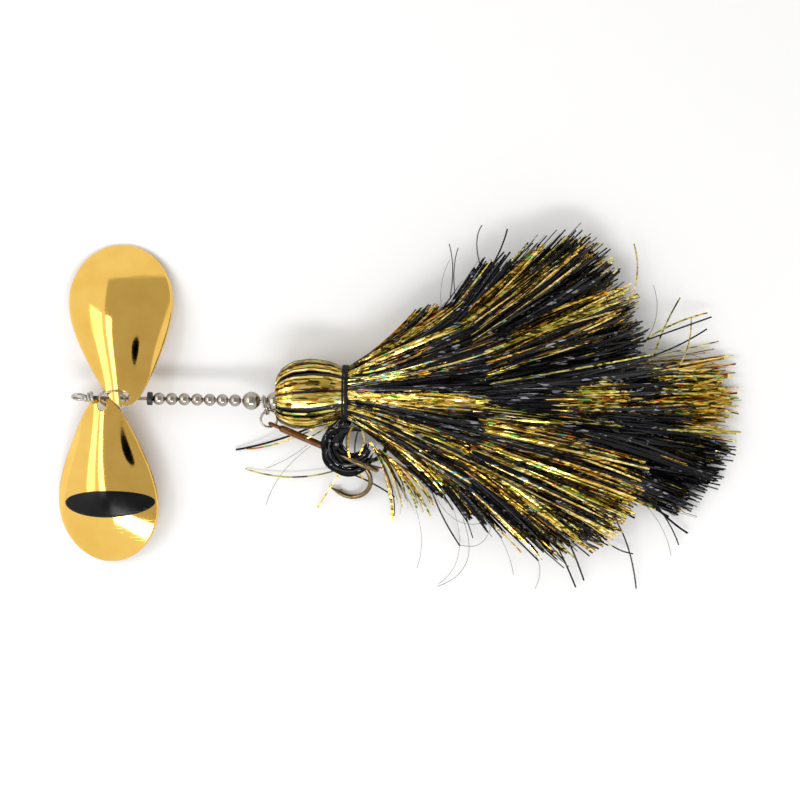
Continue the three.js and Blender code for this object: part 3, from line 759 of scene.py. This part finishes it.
def coloured(lock, share, gold_at):
    """True where a strand is gold. A lock is nearly all of one colour, by its place across the bundle."""
    stray = 0.08
    chance = np.interp(share, *zip(*gold_at))
    locks = lock.max() + 1
    lock_gold = rng.uniform(size=locks)[lock] < chance
    strays = rng.uniform(size=len(lock)) < stray
    return lock_gold ^ strays


# Each tier: where it is tied, the bundle it fills and what it lies round. Its fan is the bearing in
# degrees and the length in millimetres of its strands, and "gold" the share of gold ones. Both go by
# place across the bundle, from -1 to 1. "loose" is the spread of bearings in a lock, and "droop" the
# share of its height that a strand loses by its end.
TIERS = {
    "front": {
        "tie": 104.1,
        "rows": FRONT,
        "inside": MIDDLE,
        "fan": [
            (-1, -44, 50), (-0.85, -36, 60), (-0.5, -20, 70), (0, -1, 75),
            (0.45, 20, 74), (0.8, 37, 56), (1, 47, 44),
        ],
        "gold": [
            (-1, 0.6), (-0.85, 0.7), (-0.68, 0.25), (-0.5, 0.6), (-0.38, 0.05), (-0.27, 0.05),
            (-0.2, 0.95), (0.02, 0.95), (0.08, 0.03), (0.26, 0.03), (0.31, 0.9), (0.37, 0.35),
            (0.43, 0.5), (0.5, 0.9), (0.58, 0.55), (0.74, 0.5), (1, 0.85),
        ],
        "loose": 1.3,
        "droop": 0.2,
    },
    "middle": {
        "tie": 117.5,
        "rows": MIDDLE,
        "inside": REAR,
        "fan": [
            (-1, -49, 54), (-0.9, -42, 72), (-0.8, -36, 90), (-0.65, -29, 99), (-0.5, -23, 104),
            (0, 0, 101), (0.3, 14, 102), (0.5, 25, 103), (0.8, 41, 100), (0.9, 47, 80), (1, 54, 66),
        ],
        "gold": [
            (-1, 0.1), (-0.82, 0.15), (-0.7, 0.55), (-0.5, 0.6), (-0.3, 0.3), (-0.1, 0.15), (0.1, 0.04),
            (0.42, 0.05), (0.5, 0.6), (0.64, 0.55), (0.7, 0.2), (0.82, 0.3), (0.9, 0.4), (1, 0.1),
        ],
        "loose": 1.6,
        "droop": 0.25,
    },
    "rear": {
        "tie": 135,
        "rows": REAR,
        "inside": HOLLOW,
        "fan": [(-1, -21, 106), (-0.7, -16, 111), (-0.3, -9, 116), (0.3, 0, 117), (1, 9, 117)],
        "gold": [(-1, 0.03), (-0.3, 0.06), (0, 0.24), (0.25, 0.45), (0.5, 0.65), (1, 0.6)],
        "loose": 1.3,
        "droop": 0.3,
    },
}


def skirts():
    each, points = 13, 16
    for name, slot, locks, half_under in (
        ("front", "gold_black_tinsel", 130, 18),
        ("middle", "gold_black_tinsel", 170, 22),
        ("rear", "black_gold_tinsel", 110, 0),
    ):
        tier = TIERS[name]
        paths, lock, share = lock_strands(tier, locks, each, points)
        if half_under:
            # Under the tier there are strands only at its two sides, because the hooks need the middle.
            beside = np.concatenate([np.linspace(-1, -0.45, half_under), np.linspace(0.45, 1, half_under)])
            below, below_lock, below_share = lock_strands(tier, len(beside), each, points, beside, under=True)
            paths = np.concatenate([paths, below])
            lock = np.concatenate([lock, below_lock + locks])
            share = np.concatenate([share, below_share])
        if name != "rear":
            paths = clear_of_hook(paths)
        gold = coloured(lock, share, tier["gold"])
        if name == "front":
            # The gold locks along the middle end one after another and show the black strands beyond them.
            short = gold & (np.abs(share + 0.08) < 0.17)
            paths[short] = shortened(paths[short], 0.48 + 0.42 * (lock[short] * 0.618 % 1))
        if name == "rear":
            # The black strands of the upper half end short, so that the gold ones show at the tail.
            short = ~gold & (share > -0.15)
            paths[short] = shortened(paths[short], 0.86)
            # The gold ones run under the black ones and come up at the tail.
            x, y, z = np.moveaxis(paths[gold], -1, 0)
            room = np.clip(z - heights(HOLLOW, x, y)[1] - 1.5, 0, 2)
            risen, rise = 228, 18
            paths[gold, :, 2] = z - room * np.clip((risen - x) / rise, 0, 1)
        dressed(name + "_skirt", name + "_skirt", "lure_body", paths, gold)


# Strands that stand out from the skirts, and the ones that are caught on the front hook and ride with it:
# kind, width, start, bend and end, in millimetres.
LOOSE_ON_SKIRT = [
    ("gold", 0.5, (103.4, -4.4, 13), (96.2, -10.2, 13.2), (89, -14.3, 11.2)),
    ("black", 0.4, (154, 54, 14), (153, 63, 8), (155, 69.5, 4)),
    ("black", 0.35, (143, 40, 12), (144, 52, 8), (142.5, 62, 4)),
    ("black", 0.35, (145, 42, 12), (144.5, 52, 9), (146, 60.5, 5)),
    ("hair", 0.15, (140, 36, 12), (140, 47, 7), (143, 56, 3)),
    ("black", 0.6, (158, 52, 16), (162, 60, 11), (164.6, 68, 7)),
    ("gold", 0.6, (211, 40, 14), (214.5, 52, 8), (213.4, 63.5, 5)),
    ("hair", 0.18, (219, 28, 12), (222.5, 38, 7), (221.4, 48, 3)),
    ("gold", 0.6, (221, 20, 12), (225, 31, 9), (231.6, 43.4, 5)),
    ("gold", 0.65, (218, 27, 14), (230, 33.5, 9), (242.3, 37.7, 4)),
    ("black", 0.6, (214, 25, 15), (230, 31, 9), (243.8, 36.2, 5)),
    ("black", 0.6, (219, 20, 13), (231, 25, 8), (242.3, 31.6, 4)),
    ("gold", 0.5, (228, 13, 10), (234, 23, 8), (236, 35.4, 5)),
    ("hair", 0.16, (219, 23, 12), (234, 22, 7), (246.9, 17.5, 5)),
    ("black", 0.6, (137, -30, 10), (142, -42, 6), (149.4, -54.1, 2)),
    ("hair", 0.2, (149.6, -53.7, 2), (157, -53, 3), (161, -46, 6)),
    ("hair", 0.2, (150, -43, 10), (152, -60, 4), (141, -70, 1)),
    ("hair", 0.14, (132, -40, 8), (134.5, -52, 4), (133, -63, 1)),
    ("hair", 0.14, (145, -36, 9), (149, -56, 4), (141.4, -69, 1)),
    ("black", 0.4, (149, -35, 10), (151.5, -43, 6), (154.3, -51, 2)),
    ("hair", 0.16, (140, -36, 9), (150, -45, 4), (162, -43, 5)),
    ("hair", 0.16, (164, -49, 8), (168, -57, 4), (170.3, -64.8, 1)),
    ("hair", 0.18, (175, -52, 8), (180, -61, 4), (178.7, -70, 1)),
    ("gold", 0.6, (160, -44, 10), (167, -50, 6), (173, -56, 3)),
    ("black", 0.65, (183, -47, 12), (189, -58, 7), (194.3, -69, 2)),
    ("black", 0.65, (188, -46, 12), (193, -56, 7), (197.4, -66.3, 2)),
    ("black", 0.55, (208, -42, 10), (214, -54, 6), (217.6, -69, 2)),
    ("black", 0.5, (200, -44, 10), (207, -52, 5), (216, -55.5, 3)),
    ("black", 0.8, (217, -30, 10), (227, -40, 6), (237, -47.2, 2)),
    ("black", 0.5, (222, -34, 9), (229, -43, 5), (233.6, -51.8, 2)),
    ("hair", 0.16, (217, -34, 9), (226, -44, 4), (230.9, -56, 1)),
    ("gold", 0.9, (114, -14.5, 15), (120.6, -28, 9), (123.2, -45, 1.5)),
    ("black", 0.8, (102, -4.5, 9), (81, -13.8, 4.5), (62.1, -19, 1)),
    ("gold", 0.6, (101, -5, 8.5), (83, -14.5, 4), (66.3, -18.7, 1)),
]
LOOSE_ON_HOOK = [
    ("gold", 0.6, (101.3, -25.9, 2), (84, -29, 2.5), (65.9, -26.3, 0.8)),
    ("hair", 0.16, (90, -16.4, 4), (82, -22, 2), (73.9, -25.9, 0.6)),
    ("hair", 0.16, (91, -17, 3), (80, -28, 2), (74.3, -40, 0.6)),
    ("gold", 0.6, (107, -19, 12), (100, -31, 6), (94.1, -40.8, 1)),
    ("gold", 0.7, (107.3, -8.6, 15), (106, -19, 15.5), (111.9, -29, 8)),
    ("gold", 0.6, (110.8, -10.5, 15), (111, -17.5, 15.5), (104, -27, 9)),
    ("black", 0.45, (105.8, -8.4, 14), (103.2, -14, 14.5), (105, -21, 14)),
    ("black", 0.4, (107, -8.5, 14), (105, -14, 14.8), (106.2, -21, 14)),
    ("black", 0.5, (110, -9.5, 14), (108.4, -15, 14.6), (108.8, -22, 14)),
    ("black", 0.5, (109, -21, 12), (114, -21.5, 12.5), (118.5, -19, 11)),
    ("black", 0.5, (110, -22, 12), (115, -23.5, 12.5), (119, -24.5, 11)),
    ("black", 0.6, (106.5, -27, 6), (115, -30.5, 5), (123.8, -35.8, 2)),
]


def bent(start, bend, end, points=14):
    """A curve from start to end that passes bend about half way."""
    start, bend, end = (np.array(p, float) for p in (start, bend, end))
    pull = 2 * bend - (start + end) / 2
    t = np.linspace(0, 1, points)[:, None]
    return start * (1 - t) ** 2 + 2 * pull * t * (1 - t) + end * t**2


def loose_strands(name, rows, node, body):
    films = {"black": [BLACK_FILM], "gold": GOLD_FILMS, "hair": [HAIR]}
    for kind, looks in films.items():
        widths = [row[1] for row in rows if row[0] == kind]
        paths = np.array([bent(*row[2:]) for row in rows if row[0] == kind])
        side = np.cross(np.gradient(paths, axis=1), [0, 0, 1.0])
        side /= np.linalg.norm(side, axis=2, keepdims=True)
        side *= np.array(widths)[:, None, None]
        obj = ribbon_object(f"{name}_{kind}", *ribbons(paths, (1, 1), side), looks)
        stands_for(obj, node, body)


def hank():
    """Black strands wound in a loop round the front hook's bends, thickest at the left and the near side."""
    count, points = 110, 30
    place = rng.uniform(0, 1, (count, 1))  # from the loop's inner side to its outer side
    start = 72 + 45 * place + rng.normal(0, 9, (count, 1))
    end = rng.normal(328, 14, (count, 1))
    angle = np.radians(start + (end - start) * np.linspace(0, 1, points))
    place = np.clip(place + drift(count, points, 0.13), -0.15, 1.15)
    radius = 5.1 + 4.2 * place + 0.35 * np.sin(angle * 3 + rng.uniform(0, 6, (count, 1)))
    x = 107.7 - 1.8 * place + radius * np.cos(angle)
    y = -14.9 - 1.9 * place + radius * np.sin(angle) * 1.03
    # The loop is flattened where it would reach past the skirt's tie.
    top, ease = -8.9 + rng.normal(0, 0.35, (count, 1)), 1.1
    y = top - np.log1p(np.exp((top - y) * ease)) / ease
    z = 11.4 + rng.uniform(0, 3.4, (count, 1)) + drift(count, points, 0.25)
    obj = ribbon_object("hook_hank", *ribbons(np.stack([x, y, z], -1), (0.5, 0.8)), BLACK_FILMS)
    stands_for(obj, "front_skirt", "front_hook")


def tuft():
    """Black strands that leave the tie's near side and curl towards the front hook."""
    count = 34
    place = rng.uniform(0, 1, (count, 1))
    start = np.array([104.9, -5.2, 11.7]) + place * [1.6, -0.5, 0] + rng.normal(0, 0.25, (count, 3))
    end = np.array([96.9, -12.8, 12.2]) + place * [9.8, 2.1, 0] + rng.normal(0, 0.45, (count, 3))
    middle = (start + end) / 2 + np.array([-1.1, 1.7, 0.4]) * (1 - place)
    paths = np.array([bent(*row) for row in zip(start, middle, end)])
    gold = np.zeros(count, bool)
    dressed("tuft", "front_skirt", "lure_body", paths, gold, (0.4, 0.6))


def stragglers():
    """Strands that hang out of the near side of the front skirt, behind the front hook."""
    count, points = 26, 16
    place = (np.linspace(0, 1, count) + rng.normal(0, 0.04, count))[:, None]
    start = np.array([113.5, -14.5, 14]) + place * [12, -8.5, -1]
    end = np.array([124, -43.5, 2]) + place * [20, 3.5, 1] + rng.normal(0, 1.1, (count, 3))
    sag = np.array([2.2, -0.6, 1.6]) * rng.normal(1, 0.5, count)[:, None]
    t = np.linspace(0, 1, points)[None, :, None]
    reach = rng.uniform(0.72, 1, count)[:, None, None]
    end = start[:, None] + (end - start)[:, None] * reach
    paths = start[:, None] * (1 - t) + end * t + sag[:, None] * 4 * t * (1 - t)
    paths[..., 2] = np.maximum(paths[..., 2], 0.5)
    gold = rng.uniform(size=count) < 0.8
    dressed("stragglers", "front_skirt", "lure_body", paths, gold, (0.45, 0.8))


def shortened(paths, keep):
    """The same strands cut to a share of their length: one share, or one for each strand."""
    count, points = paths.shape[:2]
    at = np.broadcast_to(keep, count)[:, None] * np.linspace(0, points - 1, points)
    low = np.minimum(at.astype(int), points - 2)
    part = (at - low)[..., None]
    strand = np.arange(count)[:, None]
    return paths[strand, low] * (1 - part) + paths[strand, low + 1] * part


# Where black strands show on the head between wide gold bands: bearing round the lure from its left side
# over the top, and half the slot's width, in degrees.
DARK_SLOTS = [
    (30, 2), (55, 5), (87, 2.5), (97, 1.5), (120, 5), (131, 2), (140, 2), (158, 2),
    (179, 3), (205, 4), (230, 3), (262, 5), (290, 3), (325, 4), (350, 3),
]


def head():
    """The front skirt's strands come forward from their tie and fold back inside."""
    locks, each, points = 64, 8, 24
    angle = np.linspace(0, 2 * math.pi, locks, endpoint=False) + rng.normal(0, 0.03, locks)
    lock = np.repeat(np.arange(locks), each)
    count = len(lock)
    angle = angle[lock] + rng.normal(0, 0.06, count)
    dark = np.zeros(count, bool)
    for bearing, half in DARK_SLOTS:
        dark |= np.abs(np.degrees(angle) % 360 - bearing) < half
    depth = np.where(dark, rng.uniform(0.3, 1, count), rng.uniform(0, 1, count) ** 1.5)
    # Places on a strand's way: x, middle y, half width, half height and middle z.
    rows = np.array(
        [
            [105.5, 3.8, 9.8, 9.4, 11.8],
            [102.5, 3.8, 10.1, 9.7, 11.8],
            [98, 3.7, 12.1, 10.9, 12],
            [91, 3.2, 13.6, 12.1, 12.2],
            [84, 2.7, 12.9, 11.8, 12.2],
            [79.8, 2.1, 10.6, 10.2, 12],
            [77.9, 1.6, 7.6, 7.6, 11.8],
            [78.6, 1.2, 5.6, 5.6, 11.8],
            [83, 0.8, 4.6, 4.6, 11.8],
            [90, 0.4, 4.2, 4.2, 11.8],
        ]
    )
    at = np.linspace(0, len(rows) - 1, points)
    x, middle, wide, tall, level = (np.interp(at, np.arange(len(rows)), rows[:, i]) for i in range(5))
    bulge = np.sin(np.linspace(0, math.pi, points))[None, :]
    inward = 1 - 0.22 * depth[:, None] * bulge
    turned = angle[:, None] + drift(count, points, 0.015)
    y = middle + wide * inward * np.cos(turned)
    z = level + tall * inward * np.sin(turned)
    paths = np.stack([x + depth[:, None] * 2.2 * bulge, y, z], -1)
    # A strip lies flat on the bundle, so its width runs round the bundle.
    tangents = np.gradient(paths, axis=1)
    outward = np.stack([np.zeros_like(y), np.cos(turned), np.sin(turned)], -1)
    side = np.cross(tangents, outward)
    side /= np.maximum(np.linalg.norm(side, axis=2, keepdims=True), 1e-9)
    dressed("head", "front_skirt", "lure_body", paths, ~dark, (0.7, 1.0), side)


def collar(tier, y, wide, tall, turns):
    """Thread wound over a tier's tie, across the collar and back and across again."""
    thread, breadth = 0.26, 1.8
    angles = np.linspace(0, 2 * math.pi * turns, turns * 56)
    across = 0.5 - 0.5 * np.cos(angles / (2 * math.pi * turns) * 3 * math.pi)
    x = TIERS[tier]["tie"] - breadth / 2 + breadth * across
    path = np.column_stack([x, y + wide * np.cos(angles), AXIS + tall * np.sin(angles)])
    grow(tube(path, thread, 8), f"{tier}_thread_collar", "lure_body", THREAD)


# ---------------------------------------------------------------- the set
def flat_mesh(name, points, look):
    mesh = bpy.data.meshes.new(name)
    mesh.from_pydata(points, [], [tuple(range(len(points)))])
    mesh.materials.append(look)
    obj = linked(name, mesh)
    return obj


def reflector(name, points, level):
    """A card of one brightness that the camera does not see but the metal mirrors."""
    glow = {"Specular_IOR_Level": 0.0, "Emission_Color": (1, 0.98, 0.95, 1), "Emission_Strength": level}
    card = flat_mesh(name, points, material(name, (0, 0, 0), roughness=1.0, **glow))
    card.visible_camera = False


def softbox(name, place, target, width, depth, brightness):
    """A rectangular light of one brightness, as it looks in a mirror."""
    light = bpy.data.lights.new(name, "AREA")
    light.shape, light.size, light.size_y = "RECTANGLE", width, depth
    light.energy = brightness * math.pi * width * depth
    obj = linked(name, light)
    obj.location = place
    obj.rotation_euler = (Vector(target) - Vector(place)).to_track_quat("-Z", "Y").to_euler()


def setting():
    size = 3.0
    corners = [(-size, -size, 0), (size, -size, 0), (size, size, 0), (-size, size, 0)]
    flat_mesh("table", corners, material("table_white", grey(0.9), roughness=0.8, Specular_IOR_Level=0.2))
    bpy.context.scene.view_settings.view_transform = "Standard"

    world = bpy.data.worlds.new("room")
    world.use_nodes = True
    background = world.node_tree.nodes["Background"].inputs
    background["Color"].default_value = (1, 1, 1, 1)
    background["Strength"].default_value = 1.03
    bpy.context.scene.world = world

    camera_data = bpy.data.cameras.new("camera")
    camera_data.lens = 85
    camera = linked("camera", camera_data)
    bpy.context.scene.camera = camera
    shown, sensor = 0.3048, 36  # the picture's width on the table in metres, and on the sensor in millimetres
    away = shown / sensor * camera_data.lens
    look_at = (np.array([125, 1.6, 10]) + ORIGIN) / 1000
    camera.location = (look_at[0], look_at[1], look_at[2] + away)
    camera.rotation_euler = (0, 0, math.radians(1.3))

    # The dull ceiling and the lens over the table, which the blades and beads mirror.
    left, right, near, far, height = -0.8, 1.25, -0.85, 1.45, 0.95
    ceiling = [(left, near, height), (left, far, height), (right, far, height), (right, near, height)]
    reflector("ceiling", ceiling, 0.56)
    x, y, radius = look_at[0] + 0.2, look_at[1] + 0.13, 0.11
    around = np.radians(np.arange(0, 360, 15))
    lens = [(x + radius * math.cos(a), y - radius * math.sin(a), away + 0.05) for a in around]
    reflector("lens", lens, 0.0)

    softbox("key", (-0.02, -0.74, 0.83), (0, 0, 0), 0.8, 0.18, 11)
    softbox("strip", (-0.62, 0, 0.92), (-0.1, 0, 0), 1.1, 0.22, 3.6)
    softbox("left", (-1.0, 0.05, 0.78), (-0.05, 0, 0), 1.1, 0.3, 1.7)


shaft()
clevis()
rings()
blades()
for number in range(1, 8):
    bead(f"small_bead_{number}", SMALL_BEAD)
bead("large_bead_1", LARGE_BEAD)
bead("large_bead_2", LARGE_BEAD)
bead("rear_bead", SMALL_BEAD)
sleeve("bearing_washer", "washer", WASHER, 2.5)
for tube_name in ("front_core_tube", "middle_core_tube", "rear_core_tube"):
    sleeve(tube_name, "lure_body", CORE, 3)
treble_hook("front_treble_hook", "front_hook", FRONT_HOOK_EYE, -21.8)
treble_hook("rear_treble_hook", "rear_hook", REAR_HOOK_EYE, 0)
skirts()
head()
hank()
stragglers()
tuft()
loose_strands("loose_strands", LOOSE_ON_SKIRT, "middle_skirt", "lure_body")
loose_strands("caught_strands", LOOSE_ON_HOOK, "front_skirt", "front_hook")
collar("front", 3.8, 10.5, 10.1, 7)
collar("middle", 0, 5.5, 5.5, 6)
collar("rear", 0, 5.3, 5.3, 6)
setting()
